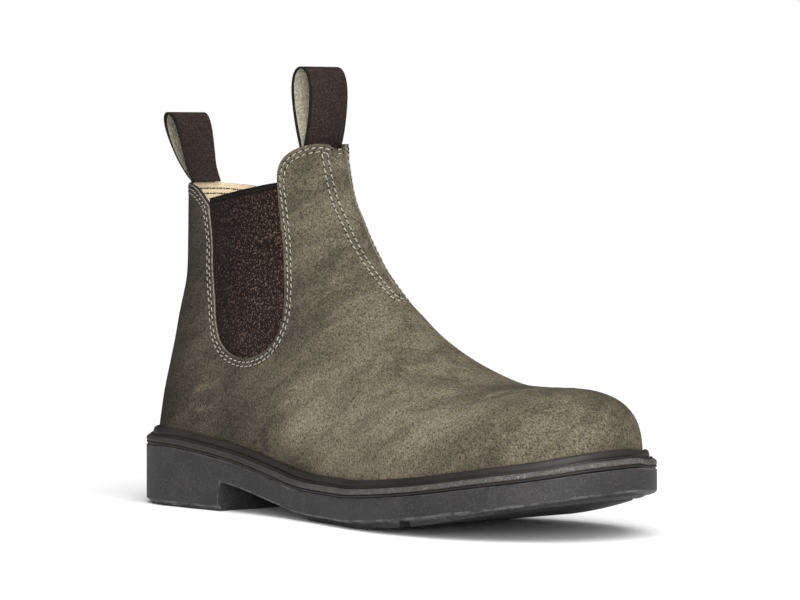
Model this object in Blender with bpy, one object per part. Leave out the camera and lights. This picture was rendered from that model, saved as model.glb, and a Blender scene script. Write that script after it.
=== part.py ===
"""Side gore work boot for the right foot, standing empty on its sole.

Sizes are in metres. +X runs to the toe, +Y to the inner side of the foot, +Z up.
The origin is on the floor under the middle of the heel.
"""

import math

import bpy
import numpy as np
from mathutils import Vector
from mathutils.geometry import delaunay_2d_cdt

for old in list(bpy.data.objects):
    bpy.data.objects.remove(old, do_unlink=True)

# Main sizes
SOLE_LENGTH = 0.305
BALL_WIDTH = 0.106
SHAFT_HEIGHT = 0.172
HEEL_SEAT = 0.0306
HEEL_BLOCK = 0.076
HEEL_CENTRE = HEEL_BLOCK / 2

# Ends of the sole's outline
TOE_ROUND = 0.080
TOE_POWER = 2.35
HEEL_ROUND = 0.040
HEEL_POWER = 2.2

# Layers of the sole
LEDGE_PLATE = 0.0024
SIDEWALL = 0.0106
LUG_DEPTH = 0.0030
GROOVE_FLOOR = 0.0004
LUG_INSET = 0.0050
HEEL_TREAD_INSET = 0.0018
HEEL_TREAD_DEPTH = 0.0016
DRAFT = 0.0005
BEVEL = 0.0008
BREAST_SLOPE = 0.0020
GAP = 0.0003

# Rand and the seat inside it
LEDGE_WIDTH = 0.0036
RAND_HEIGHT = 0.0057
RAND_SLOPE = 0.0008
RAND_LIP = 0.0004
PLATEAU = 0.0012
FEATHER_INSET = 0.0060
FEATHER_HEIGHT = 0.0052

# Upper
WALL = 0.0024
RECESS = 0.0008
CUT_GAP = 0.0005
PANEL_GAP = 0.0006
PANEL_DEPTH = 0.0019
MESH_STEP = 0.0080
EDGE_STEP = 0.0048

# Mesh of the upper
NEAR = 1e-5
SLIGHT = 1e-3
MERGE = 2e-5
NORMAL_STEP = 0.006
GIRTH_SPAN = 0.118
ARC_SAMPLES = 61
HALVINGS = 40
CURVE_SAMPLES = 20
FOOT_SAMPLES = 2000
PANEL_ROWS = 24
PANEL_CROWDING = 1.2
GORE_TOP_POINTS = 9
SWAP_ROUNDS = 12
LEAST_BREADTH = 0.05
CLEAR_OF_LINES = 0.42

# Insole
INSOLE_THICKNESS = 0.0036
INSOLE_BEVEL = 0.0010
INSOLE_GAP = 0.0008

# Webbing of the pull loops
WEB_WIDTH = 0.022
WEB_THICKNESS = 0.0011

# Pull loops: at = x at the collar as a share of the length, foot and top as shares of the
# shaft height, lean = shift of the top (x), opening inside the loop, tab = depth of the
# doubled tab under the foot, pinch = share by which the foot is narrower than the webbing,
# side = shift to the outer side of the foot (y)
FRONT_LOOP = {"at": 0.3560, "foot": 0.950, "top": 1.174, "lean": -0.003, "lean_power": 1.3}
FRONT_LOOP.update({"opening": 0.0115, "tab": 0.016, "pinch": 0.0, "side": 0.0, "facing": 1})
BACK_LOOP = {"at": 0.0665, "foot": 0.8820, "top": 1.057, "lean": -0.0134, "lean_power": 0.6}
BACK_LOOP.update({"opening": 0.0074, "tab": 0.0006, "pinch": 0.26, "side": 0.001, "facing": -1})
LOOP_STRIPS = 6
COLLAR_BEND = 0.122
BEND_POWER = 1.6
BOW_FADE = 0.6

# Plan of the sole: a row per section, at = share of the length,
# centre and half = centre line and half width as shares of the ball width
PLAN = (
    # at, centre, half
    (0.00, 0.000, 0.345),
    (0.13, 0.000, 0.350),
    (0.25, -0.005, 0.343),
    (0.38, -0.024, 0.333),
    (0.50, -0.038, 0.378),
    (0.62, -0.038, 0.458),
    (0.72, -0.024, 0.500),
    (0.82, -0.013, 0.500),
    (1.00, -0.004, 0.460),
)

# Side of the sole: a row per section, at = share of the length,
# ledge = height of the welt ledge as a share of the heel seat
SIDE = (
    # at, ledge
    (0.000, 1.000),
    (0.125, 0.990),
    (0.207, 0.922),
    (0.305, 0.791),
    (0.370, 0.660),
    (0.439, 0.548),
    (0.492, 0.521),
    (0.583, 0.521),
    (0.630, 0.552),
    (0.731, 0.647),
    (0.862, 0.830),
    (0.951, 0.967),
    (1.000, 1.052),
)

# Starts and ends of the waist and of the tread's cross grooves as shares of the length
GROOVES = ((0.245, 0.455), (0.713, 0.733), (0.880, 0.900))

# Form of the upper: a row per section plane, from the toe to the collar.
# foot = where it meets the feather line or the back seam, as a share of the length,
# lift = height of that point above the feather line, top and rise = its upper point,
# as shares of the length and of the shaft height, wide = half width as a share of the
# ball width, belly = share of the way up to the widest point, then two roundings
FORM = (
    # foot, lift, top, rise, wide, belly, crown, edge
    (0.741, 0.000, 0.9803, 0.218, 0.00, 0.00, 2.6, 2.2),
    (0.734, 0.000, 0.9795, 0.250, 0.00, 0.00, 2.6, 2.2),
    (0.721, 0.000, 0.9740, 0.297, 0.00, 0.00, 2.6, 2.2),
    (0.705, 0.000, 0.9580, 0.335, 0.00, 0.00, 2.6, 2.2),
    (0.685, 0.000, 0.9280, 0.358, 0.00, 0.00, 2.6, 2.2),
    (0.662, 0.000, 0.8880, 0.3685, 0.00, 0.00, 2.6, 2.2),
    (0.636, 0.000, 0.8390, 0.367, 0.00, 0.00, 2.5, 2.2),
    (0.603, 0.000, 0.7830, 0.368, 0.00, 0.00, 2.4, 2.1),
    (0.561, 0.000, 0.7280, 0.383, 0.00, 0.00, 2.3, 2.0),
    (0.511, 0.000, 0.6728, 0.420, 0.35, 0.05, 2.2, 1.9),
    (0.456, 0.000, 0.6175, 0.475, 0.32, 0.10, 2.1, 1.8),
    (0.393, 0.000, 0.5672, 0.537, 0.31, 0.15, 2.1, 1.7),
    (0.321, 0.000, 0.5188, 0.600, 0.300, 0.20, 2.1, 1.65),
    (0.243, 0.000, 0.4788, 0.667, 0.300, 0.24, 2.1, 1.6),
    (0.157, 0.000, 0.4480, 0.738, 0.296, 0.28, 2.1, 1.6),
    (0.079, 0.000, 0.4272, 0.802, 0.291, 0.32, 2.1, 1.6),
    (0.045, 0.000, 0.4190, 0.825, 0.287, 0.34, 2.1, 1.6),
    (0.026, 0.000, 0.4135, 0.847, 0.283, 0.36, 2.15, 1.6),
    (0.0197, 0.015, 0.4090, 0.868, 0.277, 0.38, 2.2, 1.6),
    (0.0352, 0.240, 0.4010, 0.910, 0.254, 0.42, 2.2, 1.6),
    (0.0510, 0.345, 0.3977, 0.932, 0.242, 0.44, 2.2, 1.6),
    (0.0565, 0.440, 0.3950, 0.953, 0.236, 0.46, 2.2, 1.6),
    (0.0560, 0.700, 0.3910, 1.010, 0.228, 0.50, 2.2, 1.6),
)
FOREFOOT_ENDS = 8
SHAFT_STARTS = 11
HEEL_SEAM = 18

# Roundness of the sections' lower part: height above the feather line as a share of the
# shaft height, and the power of the curve there
ROUNDNESS = (
    # height, power
    (0.00, 2.60),
    (0.10, 2.40),
    (0.28, 1.95),
    (0.60, 1.95),
    (0.80, 2.10),
)

# Where the upper turns upright over the heel: start and span as shares of the shaft height
UPRIGHT_FROM = 0.35
UPRIGHT_SPAN = 0.35

# Collar edge on both sides, back seam to front: shares of the length and the shaft height
COLLAR = (
    # at, rise
    (0.030, 0.875),
    (0.055, 0.873),
    (0.078, 0.868),
    (0.100, 0.864),
    (0.118, 0.860),
    (0.137, 0.849),
    (0.157, 0.829),
    (0.171, 0.812),
    (0.190, 0.785),
    (0.220, 0.700),
    (0.290, 0.700),
    (0.312, 0.800),
    (0.3205, 0.870),
    (0.3225, 0.909),
    (0.329, 0.934),
    (0.338, 0.950),
    (0.350, 0.963),
    (0.364, 0.972),
    (0.380, 0.976),
    (0.391, 0.969),
    (0.400, 0.958),
    (0.440, 0.925),
)

# Gore edge from above its back corner, down, round and up past its front corner
GORE = (
    # at, rise
    (0.164, 0.940),
    (0.173, 0.824),
    (0.188, 0.718),
    (0.198, 0.633),
    (0.207, 0.565),
    (0.216, 0.503),
    (0.228, 0.455),
    (0.253, 0.422),
    (0.291, 0.409),
    (0.329, 0.423),
    (0.355, 0.457),
    (0.366, 0.511),
    (0.363, 0.560),
    (0.355, 0.620),
    (0.341, 0.700),
    (0.329, 0.790),
    (0.322, 0.871),
    (0.316, 0.980),
)
GORE_TOP_BACK = 0.829
GORE_TOP_FRONT = 0.874

# Instep panel: half width at its lower end and at the collar, and its lower end
PANEL_LOW = 0.0022
PANEL_HIGH = 0.0048
PANEL_END = 0.535


def smooth(xs, ys, x):
    """Smooth curve through the values ys at xs, without overshoot."""
    xs = np.asarray(xs, float)
    ys = np.asarray(ys, float)
    x = np.clip(np.asarray(x, float), xs[0], xs[-1])
    step = np.diff(xs)
    slope = np.diff(ys) / step
    tangent = np.zeros_like(ys)
    tangent[0] = slope[0]
    tangent[-1] = slope[-1]
    for i in range(1, len(xs) - 1):
        if slope[i - 1] * slope[i] > 0:
            near = 2 * step[i] + step[i - 1]
            far = step[i] + 2 * step[i - 1]
            tangent[i] = (near + far) / (near / slope[i - 1] + far / slope[i])
    k = np.clip(np.searchsorted(xs, x) - 1, 0, len(xs) - 2)
    t = (x - xs[k]) / step[k]
    value = (2 * t**3 - 3 * t**2 + 1) * ys[k] + (3 * t**2 - 2 * t**3) * ys[k + 1]
    value = value + (t**3 - 2 * t**2 + t) * step[k] * tangent[k]
    return value + (t**3 - t**2) * step[k] * tangent[k + 1]


def columns(table):
    return np.array(table, float).T


PLAN_AT, PLAN_CENTRE, PLAN_HALF = columns(PLAN)
SIDE_AT, SIDE_LEDGE = columns(SIDE)
ROUND_AT, ROUND_POWER = columns(ROUNDNESS)


def centre_line(x):
    return BALL_WIDTH * smooth(PLAN_AT, PLAN_CENTRE, x / SOLE_LENGTH)


def half_width(x, inset):
    """Half width of the sole's outline at x, after an inset all round."""
    half = BALL_WIDTH * smooth(PLAN_AT, PLAN_HALF, x / SOLE_LENGTH) - inset
    heel = np.clip((HEEL_ROUND - x) / (HEEL_ROUND - inset), 0, 1)
    toe = np.clip((x - SOLE_LENGTH + TOE_ROUND) / (TOE_ROUND - inset), 0, 1)
    half = half * (1 - heel**HEEL_POWER) ** (1 / HEEL_POWER)
    return half * (1 - toe**TOE_POWER) ** (1 / TOE_POWER)


def ledge_height(x):
    return HEEL_SEAT * smooth(SIDE_AT, SIDE_LEDGE, x / SOLE_LENGTH)


def feather_height(x):
    return ledge_height(x) + FEATHER_HEIGHT


def material(name, colour, roughness):
    made = bpy.data.materials.new(name)
    made.use_nodes = True
    shader = made.node_tree.nodes["Principled BSDF"]
    shader.inputs["Base Color"].default_value = (*colour, 1)
    shader.inputs["Roughness"].default_value = roughness
    return made


def solid(name, points, faces, colour, roughness):
    """Object of a closed mesh, moved so that x = 0 is under the middle of the heel."""
    placed = np.array(points, float) - (HEEL_CENTRE, 0, 0)
    volume = 0
    for face in faces:
        for i in range(1, len(face) - 1):
            volume += np.dot(placed[face[0]], np.cross(placed[face[i]], placed[face[i + 1]]))
    if volume < 0:
        faces = [tuple(reversed(face)) for face in faces]
    mesh = bpy.data.meshes.new(name)
    mesh.from_pydata(placed.tolist(), [], faces)
    mesh.polygons.foreach_set("use_smooth", [True] * len(mesh.polygons))
    mesh.materials.append(material(name, colour, roughness))
    mesh.validate()
    made = bpy.data.objects.new(name, mesh)
    bpy.context.collection.objects.link(made)
    return made


# Sole pieces: rings round the outline, joined one above the other
HEEL_TURN = 8
TOE_TURN = 13
TOE_CLEAR = 0.0013
SOLE_STEP = 0.0095


def stations():
    """Positions along the sole where its outline is sampled."""
    turn = np.linspace(0, math.pi / 2, HEEL_TURN + 1)
    heel = HEEL_ROUND * (1 - np.cos(turn))
    turn = np.linspace(0, math.pi / 2, TOE_TURN + 1)
    toe = SOLE_LENGTH - TOE_ROUND * (1 - np.cos(turn))
    marks = [HEEL_BLOCK, HEEL_BLOCK + BREAST_SLOPE]
    for start, end in GROOVES:
        for edge in (start, end):
            marks += [edge * SOLE_LENGTH - DRAFT, edge * SOLE_LENGTH + DRAFT]
    toe = [x for x in toe if min(abs(x - mark) for mark in marks) > TOE_CLEAR]
    fixed = sorted(set([*heel, *toe, *marks]))
    full = [fixed[0]]
    for x in fixed[1:]:
        pieces = max(1, math.ceil((x - full[-1]) / SOLE_STEP))
        start = full[-1]
        full += [start + (x - start) * (i + 1) / pieces for i in range(pieces)]
    return np.array(full)


STATIONS = stations()


def ring(inset, height):
    """Closed loop of points round the sole, inset from its outline, at height(x)."""
    inset = np.broadcast_to(inset, STATIONS.shape)
    heel = np.clip(1 - STATIONS / HEEL_ROUND, 0, 1) ** 3
    toe = np.clip(1 - (SOLE_LENGTH - STATIONS) / TOE_ROUND, 0, 1) ** 3
    x = STATIONS + inset * (heel - toe)
    half = half_width(x, inset)
    half[0] = half[-1] = 0
    centre = centre_line(x)
    z = height(x)
    outer = np.stack([x, centre - half, z], 1)
    inner = np.stack([x, centre + half, z], 1)
    return np.concatenate([outer, inner[-2:0:-1]])


def stack(name, rings, colour, roughness):
    """Solid between the first ring, closed across, and the last ring, closed across."""
    count = len(rings[0])
    last = len(STATIONS) - 1
    faces = []
    for k in range(len(rings) - 1):
        for i in range(count):
            j = (i + 1) % count
            faces.append((k * count + i, k * count + j, (k + 1) * count + j, (k + 1) * count + i))
    for base, turn in ((0, 1), ((len(rings) - 1) * count, -1)):
        for i in range(last):
            loop = [i, i + 1, (count - i - 1) % count, (count - i) % count]
            loop = [base + j for n, j in enumerate(loop) if j not in loop[:n]]
            faces.append(tuple(loop[::-turn]))
    return solid(name, np.concatenate(rings), faces, colour, roughness)


def parting_height(x):
    return ledge_height(x) - LEDGE_PLATE


def in_heel(x):
    """1 under the heel block, 0 in front of its breast."""
    return np.clip((HEEL_BLOCK + BREAST_SLOPE - x) / BREAST_SLOPE, 0, 1)


def sidewall_height(x):
    heel = in_heel(x)
    return heel * HEEL_TREAD_DEPTH + (1 - heel) * (parting_height(x) - SIDEWALL)


def tread_height(x):
    """Height of the tread's ends: the heel and lugs stand lower than the grooves."""
    wall = parting_height(x) - SIDEWALL
    lug = np.maximum(wall - LUG_DEPTH, 0)
    groove = np.zeros_like(x)
    for start, end in GROOVES:
        groove = np.maximum(groove, (x > start * SOLE_LENGTH) & (x < end * SOLE_LENGTH))
    forefoot = np.where(groove > 0, wall - GROOVE_FLOOR, lug)
    return np.where(in_heel(x) > 0.5, 0, forefoot)


tread_inset = np.where(STATIONS < HEEL_BLOCK + BREAST_SLOPE / 2, HEEL_TREAD_INSET, LUG_INSET)

stack(
    "outsole",
    [
        ring(tread_inset + DRAFT, tread_height),
        ring(tread_inset, lambda x: sidewall_height(x) - (1 - in_heel(x)) * GROOVE_FLOOR / 2),
        ring(BEVEL, lambda x: sidewall_height(x)),
        ring(0, lambda x: sidewall_height(x) + BEVEL),
        ring(0, lambda x: parting_height(x) - GAP - BEVEL),
        ring(BEVEL, lambda x: parting_height(x) - GAP),
    ],
    (0.075, 0.073, 0.075),
    0.7,
)

stack(
    "midsole",
    [
        ring(BEVEL, parting_height),
        ring(0, lambda x: parting_height(x) + BEVEL),
        ring(0, lambda x: ledge_height(x) - BEVEL),
        ring(BEVEL, ledge_height),
        ring(LEDGE_WIDTH, ledge_height),
        ring(LEDGE_WIDTH + RAND_SLOPE, lambda x: ledge_height(x) + RAND_HEIGHT - RAND_LIP),
        ring(LEDGE_WIDTH + 2 * RAND_SLOPE, lambda x: ledge_height(x) + RAND_HEIGHT),
        ring(FEATHER_INSET - GAP, lambda x: ledge_height(x) + RAND_HEIGHT),
        ring(FEATHER_INSET - GAP, lambda x: ledge_height(x) + PLATEAU),
    ],
    (0.040, 0.030, 0.026),
    0.55,
)

insole_inset = FEATHER_INSET + WALL + INSOLE_GAP
insole_floor = PLATEAU + GAP
stack(
    "insole",
    [
        ring(insole_inset, lambda x: ledge_height(x) + insole_floor),
        ring(insole_inset, lambda x: ledge_height(x) + insole_floor + INSOLE_THICKNESS - INSOLE_BEVEL),
        ring(insole_inset + INSOLE_BEVEL, lambda x: ledge_height(x) + insole_floor + INSOLE_THICKNESS),
    ],
    (0.30, 0.24, 0.17),
    0.9,
)

# Upper: one smooth skin, from which the leather, gores and instep panel are cut
FOOT, LIFT, TOP, RISE, WIDE, BELLY, CROWN, EDGE = columns(FORM)
LOWER = np.stack([FOOT * SOLE_LENGTH, feather_height(FOOT * SOLE_LENGTH) + LIFT * SHAFT_HEIGHT], 1)
UPPER = np.stack([TOP * SOLE_LENGTH, RISE * SHAFT_HEIGHT], 1)
ROW_STEPS = np.linalg.norm(np.diff(LOWER, axis=0), axis=1) + np.linalg.norm(np.diff(UPPER, axis=0), axis=1)
ROW_AT = np.concatenate([[0], ROW_STEPS.cumsum() / ROW_STEPS.sum()])
DORSAL_SPAN = ROW_STEPS.sum() / 2


def section(u):
    """Values of the form's columns at u, from 0 at the toe to 1 above the collar."""
    return [smooth(ROW_AT, column, u) for column in (FOOT, LIFT, TOP, RISE, WIDE, BELLY, CROWN, EDGE)]


def hoop_ends(u):
    """Lower and upper point of the section plane at u, seen from the side."""
    foot, lift, top, rise = section(u)[:4]
    low_x = foot * SOLE_LENGTH
    low_z = feather_height(low_x) + lift * SHAFT_HEIGHT
    return low_x, low_z, top * SOLE_LENGTH, rise * SHAFT_HEIGHT


def top_line(x):
    return SHAFT_HEIGHT * smooth(TOP[::-1], RISE[::-1], x / SOLE_LENGTH)


def skin_point(u, s, side):
    """Point of the skin at share s of the way up its section plane, side -1 outer or 1 inner."""
    wide, belly, crown, edge = section(u)[4:]
    low_x, low_z, top_x, top_z = hoop_ends(u)
    x = low_x + (top_x - low_x) * s
    z = low_z + (top_z - low_z) * s
    floor = feather_height(x)
    rise = np.clip((z - floor) / np.maximum(top_line(x) - floor, NEAR), 0, 1)
    crest = np.where(s >= 1, 0, (1 - rise**crown) ** (1 / edge))
    forefoot = half_width(np.minimum(x, SOLE_LENGTH - FEATHER_INSET), FEATHER_INSET) * crest
    start = half_width(np.maximum(low_x, FEATHER_INSET), FEATHER_INSET)
    start = np.where(u >= ROW_AT[HEEL_SEAM] - NEAR, 0, start)
    wide = np.maximum(wide * BALL_WIDTH, start + GAP)
    belly = np.maximum(belly, SLIGHT)
    power = smooth(ROUND_AT, ROUND_POWER, (z - floor) / SHAFT_HEIGHT)
    cut = (1 - (start / wide) ** power) ** (1 / power)
    below = (1 - (cut * np.clip(1 - s / belly, 0, 1)) ** power) ** (1 / power)
    above = (1 - np.clip((s - belly) / (1 - belly), 0, 1) ** crown) ** (1 / edge)
    shaft = wide * np.where(s < belly, below, above)
    turn = np.clip((u - ROW_AT[FOREFOOT_ENDS]) / (ROW_AT[SHAFT_STARTS] - ROW_AT[FOREFOOT_ENDS]), 0, 1)
    turn = turn * turn * (3 - 2 * turn)
    half = forefoot * (1 - turn) + shaft * turn
    upright = np.clip((z / SHAFT_HEIGHT - UPRIGHT_FROM) / UPRIGHT_SPAN, 0, 1)
    centre = centre_line(x) * (1 - upright)
    return np.stack(np.broadcast_arrays(x, centre + side * half, z), -1)


def arcs(u):
    """Shares s along each section at u, and the shares of its girth that they reach."""
    s = np.sin(np.linspace(0, math.pi / 2, ARC_SAMPLES))
    s = np.broadcast_to(s, (len(u), ARC_SAMPLES))
    points = skin_point(u[:, None], s, -1)
    length = np.linalg.norm(np.diff(points, axis=1), axis=2).cumsum(1)
    length = np.concatenate([np.zeros((len(u), 1)), length], 1)
    return s, length / length[:, -1:]


def at_girth(u, girth):
    """Share s where a section has covered this share of its girth."""
    s, length = arcs(u)
    return np.array([np.interp(girth[i], length[i], s[i]) for i in range(len(u))])


def skin_at(u, t):
    """Point of the skin at u and t, from -1 through the dorsal line at 0 to 1."""
    return skin_point(u, at_girth(u, 1 - abs(t)), np.where(t < 0, -1, 1))


def normal_at(u, t):
    """Outward normal of the skin."""
    along = skin_at(np.minimum(u + NORMAL_STEP, 1), t) - skin_at(np.maximum(u - NORMAL_STEP, 0), t)
    across = skin_at(u, np.minimum(t + NORMAL_STEP, 1)) - skin_at(u, np.maximum(t - NORMAL_STEP, -1))
    across = across + (0, NEAR * WALL, 0)
    normal = np.cross(across, along)
    return normal / np.linalg.norm(normal, axis=1)[:, None]


def find(x, z):
    """Place (u, girth share) on the skin of points given from the side."""
    low = np.zeros(len(x))
    high = np.ones(len(x))
    for _ in range(HALVINGS):
        u = (low + high) / 2
        low_x, low_z, top_x, top_z = hoop_ends(u)
        ahead = (top_x - low_x) * (z - low_z) - (top_z - low_z) * (x - low_x)
        low = np.where(ahead > 0, u, low)
        high = np.where(ahead > 0, high, u)
    low_x, low_z, top_x, top_z = hoop_ends(u)
    across = (x - low_x) * (top_x - low_x) + (z - low_z) * (top_z - low_z)
    share = np.clip(across / ((top_x - low_x) ** 2 + (top_z - low_z) ** 2), 0, 1)
    s, length = arcs(u)
    return u, np.array([np.interp(share[i], s[i], length[i]) for i in range(len(u))])


def curve(table, step):
    """Evenly spaced points, in metres, on a smooth curve through a side view table."""
    points = np.array(table, float) * (SOLE_LENGTH, SHAFT_HEIGHT)
    ends = [2 * points[0] - points[1], *points, 2 * points[-1] - points[-2]]
    path = []
    for a, b, c, d in zip(ends, ends[1:], ends[2:], ends[3:]):
        for t in np.linspace(0, 1, CURVE_SAMPLES, endpoint=False):
            turning = (2 * a - 5 * b + 4 * c - d) * t**2 + (3 * b - a - 3 * c + d) * t**3
            path.append(b + ((c - a) * t + turning) / 2)
    path = np.array([*path, points[-1]])
    reach = np.concatenate([[0], np.linalg.norm(np.diff(path, axis=0), axis=1).cumsum()])
    at = np.linspace(0, reach[-1], max(2, round(reach[-1] / step) + 1))
    return np.stack([np.interp(at, reach, path[:, 0]), np.interp(at, reach, path[:, 1])], 1)


def shifted(line, distance):
    """The same line moved sideways by a distance, to its left as it runs."""
    run = np.gradient(line, axis=0)
    run = run / np.linalg.norm(run, axis=1)[:, None]
    return line + distance * np.stack([-run[:, 1], run[:, 0]], 1)


def inside(points, outline):
    """True for each point of the side view inside a closed outline."""
    found = np.zeros(len(points), bool)
    for (ax, az), (bx, bz) in zip(outline, np.roll(outline, -1, 0)):
        spans = (az > points[:, 1]) != (bz > points[:, 1])
        rise = bz - az if bz != az else 1
        found ^= spans & (points[:, 0] < ax + (points[:, 1] - az) * (bx - ax) / rise)
    return found


def panel_line(gap):
    """Edge of the instep panel on one side, from its lower end to the top, as (u, girth share)."""
    first = np.interp(-PANEL_END, -TOP, ROW_AT)
    u = first + (1 - first) * np.linspace(0, 1, PANEL_ROWS) ** PANEL_CROWDING
    u = u + np.where(u < 1, gap / DORSAL_SPAN, 0)
    u = np.minimum(u, 1)
    width = PANEL_LOW + (PANEL_HIGH - PANEL_LOW) * (u - first) / (1 - first) - gap
    round_end = np.clip(1 - (u - u[0]) * DORSAL_SPAN / PANEL_LOW, 0, 1)
    width = width * np.sqrt(1 - round_end**2)
    s, length = arcs(u)
    girth = []
    for i in range(len(u)):
        half = abs(skin_point(u[i], s[i], 1) - skin_point(u[i], s[i], -1))[:, 1] / 2
        girth.append(np.interp(-width[i], -half[ARC_SAMPLES // 2:], length[i][ARC_SAMPLES // 2:]))
    return u, np.array(girth)


gore_line = curve(GORE, EDGE_STEP)
gore_edge = shifted(gore_line, CUT_GAP)
gore_half = len(gore_edge) // 2
gore_back_z = GORE_TOP_BACK * SHAFT_HEIGHT
gore_front_z = GORE_TOP_FRONT * SHAFT_HEIGHT
gore_back_x = np.interp(-gore_back_z, -gore_edge[:gore_half, 1], gore_edge[:gore_half, 0])
gore_front_x = np.interp(gore_front_z, gore_edge[gore_half:, 1], gore_edge[gore_half:, 0])
gore_top = np.array([(gore_back_x, gore_back_z), (gore_front_x, gore_front_z)])
collar_line = curve(COLLAR, EDGE_STEP)


def flat(u, girth, side):
    """Skin coordinates laid flat: along the boot, and across it from the dorsal line."""
    return np.stack([u * DORSAL_SPAN, side * (1 - girth) * GIRTH_SPAN], 1)


dorsal = np.linspace(0, 1, round(DORSAL_SPAN / EDGE_STEP) + 1)[1:-1]
lines = [flat(dorsal, np.ones(len(dorsal)), 1)]
for side in (-1, 1):
    overrun = EDGE_STEP / 4
    top_x = np.linspace(gore_top[0, 0] - overrun, gore_top[1, 0] + overrun, GORE_TOP_POINTS)
    top_z = np.interp(top_x, gore_top[:, 0], gore_top[:, 1])
    for line in (collar_line, gore_line, gore_edge, np.stack([top_x, top_z], 1)):
        lines.append(flat(*find(line[:, 0], line[:, 1]), side))
    for gap in (0, PANEL_GAP):
        lines.append(flat(*panel_line(gap), side))

across = 2 * round(GIRTH_SPAN / MESH_STEP)
along = round(DORSAL_SPAN / MESH_STEP)
u_grid, t_grid = np.meshgrid(np.linspace(0, 1, along + 1), np.linspace(-1, 1, across + 1), indexing="ij")
grid = np.stack([u_grid.ravel() * DORSAL_SPAN, t_grid.ravel() * GIRTH_SPAN], 1)
marks = np.concatenate(lines)
distance = np.array([np.linalg.norm(marks - point, axis=1).min() for point in grid])
on_side = abs(t_grid.ravel()) > 1 - NEAR
seam_clear = CLEAR_OF_LINES * MESH_STEP / DORSAL_SPAN
on_foot = on_side & (u_grid.ravel() < ROW_AT[HEEL_SEAM] + seam_clear) & (u_grid.ravel() > NEAR)
rim = on_side | (u_grid.ravel() < NEAR) | (u_grid.ravel() > 1 - NEAR)
grid = grid[((distance > MESH_STEP * CLEAR_OF_LINES) | rim) & ~on_foot]

# Even points along the feather line, from the toe's sides to the back seam
u_fine = np.linspace(0, ROW_AT[HEEL_SEAM], FOOT_SAMPLES)
foot_line = np.stack([section(u_fine)[0] * SOLE_LENGTH, np.zeros(FOOT_SAMPLES)], 1)
foot_line[:, 1] = half_width(np.maximum(foot_line[:, 0], FEATHER_INSET), FEATHER_INSET)
foot_line[-1, 1] = 0
reach = np.concatenate([[0], np.linalg.norm(np.diff(foot_line, axis=0), axis=1).cumsum()])
u_foot = np.interp(np.linspace(0, reach[-1], round(reach[-1] / EDGE_STEP) + 1)[1:], reach, u_fine)
for side in (-1, 1):
    grid = np.concatenate([grid, flat(u_foot, np.zeros(len(u_foot)), side)])
flat_points = [Vector(point) for point in np.concatenate([grid, marks])]
edges = []
start = len(grid)
for line in lines:
    edges += [(start + i, start + i + 1) for i in range(len(line) - 1)]
    start += len(line)
made_points, made_edges, triangles, _, line_edges, _ = delaunay_2d_cdt(flat_points, edges, [], 0, MERGE)
laid = np.array([tuple(point) for point in made_points])
skin_u = np.clip(laid[:, 0] / DORSAL_SPAN, 0, 1)
skin_t = np.clip(laid[:, 1] / GIRTH_SPAN, -1, 1)
skin = skin_at(skin_u, skin_t)
held = {tuple(sorted(edge)) for edge, line in zip(made_edges, line_edges) if line}


def breadth(a, b, c):
    """Height of the laid triangle over its longest side, below zero where it is turned over."""
    (ax, ay), (bx, by), (cx, cy) = laid[[a, b, c]]
    sides = ((bx - ax, by - ay), (cx - bx, cy - by), (ax - cx, ay - cy))
    longest = max(x * x + y * y for x, y in sides)
    return ((bx - ax) * (cy - ay) - (by - ay) * (cx - ax)) / longest


def shorten_edges(faces):
    """Swaps the edge between two triangles of the skin for their other diagonal where that is shorter."""
    faces = [tuple(face) for face in faces]
    for _ in range(SWAP_ROUNDS):
        owner = {}
        for i, (a, b, c) in enumerate(faces):
            owner.update({(a, b): i, (b, c): i, (c, a): i})
        swapped = set()
        for (a, b), i in owner.items():
            j = owner.get((b, a))
            if j is None or tuple(sorted((a, b))) in held or swapped & {i, j}:
                continue
            c = sum(faces[i]) - a - b
            d = sum(faces[j]) - a - b
            shorter = np.linalg.norm(skin[c] - skin[d]) < np.linalg.norm(skin[a] - skin[b])
            if shorter and min(breadth(a, d, c), breadth(d, b, c)) > LEAST_BREADTH:
                faces[i] = (a, d, c)
                faces[j] = (d, b, c)
                swapped |= {i, j}
        if not swapped:
            break
    return faces


triangles = np.array(shorten_edges(triangles))
for limit in (abs(skin_t) > 1 - NEAR, skin_u < NEAR, skin_u > 1 - NEAR):
    triangles = triangles[~limit[triangles].all(1)]

# The back seam closes the two halves: each pair of points there becomes one
seam = {}
same = np.arange(len(skin))
for i in np.nonzero(abs(skin_t) > 1 - NEAR)[0]:
    if skin_u[i] >= ROW_AT[HEEL_SEAM] - NEAR:
        same[i] = seam.setdefault(round(skin_u[i], 4), i)
triangles = same[triangles]
triangles = triangles[(triangles[:, 0] != triangles[:, 1]) & (triangles[:, 1] != triangles[:, 2])]
triangles = triangles[triangles[:, 0] != triangles[:, 2]]

# The skin turns down at the feather line and stands on the seat inside the rand
feather = (skin_u < NEAR) | ((abs(skin_t) > 1 - NEAR) & (skin_u < ROW_AT[HEEL_SEAM] + NEAR))
corners = triangles[:, [0, 1, 1, 2, 2, 0]].reshape(-1, 2)
edge_use = {}
for a, b in corners:
    edge_use[(a, b)] = edge_use.get((a, b), 0) + 1
low = {}
skin_points = [tuple(point) for point in skin]
skirt = []
for a, b in edge_use:
    if (b, a) in edge_use or not (feather[a] and feather[b]):
        continue
    for corner in (a, b):
        if corner not in low:
            low[corner] = len(skin_points)
            x, y = skin[corner, :2]
            skin_points.append((x, y, float(ledge_height(x)) + PLATEAU + GAP))
    skirt += [(b, a, low[a]), (b, low[a], low[b])]
is_skirt = np.concatenate([np.zeros(len(triangles), bool), np.ones(len(skirt), bool)])
triangles = np.concatenate([triangles, np.array(skirt)])
skin_points = np.array(skin_points)

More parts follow.
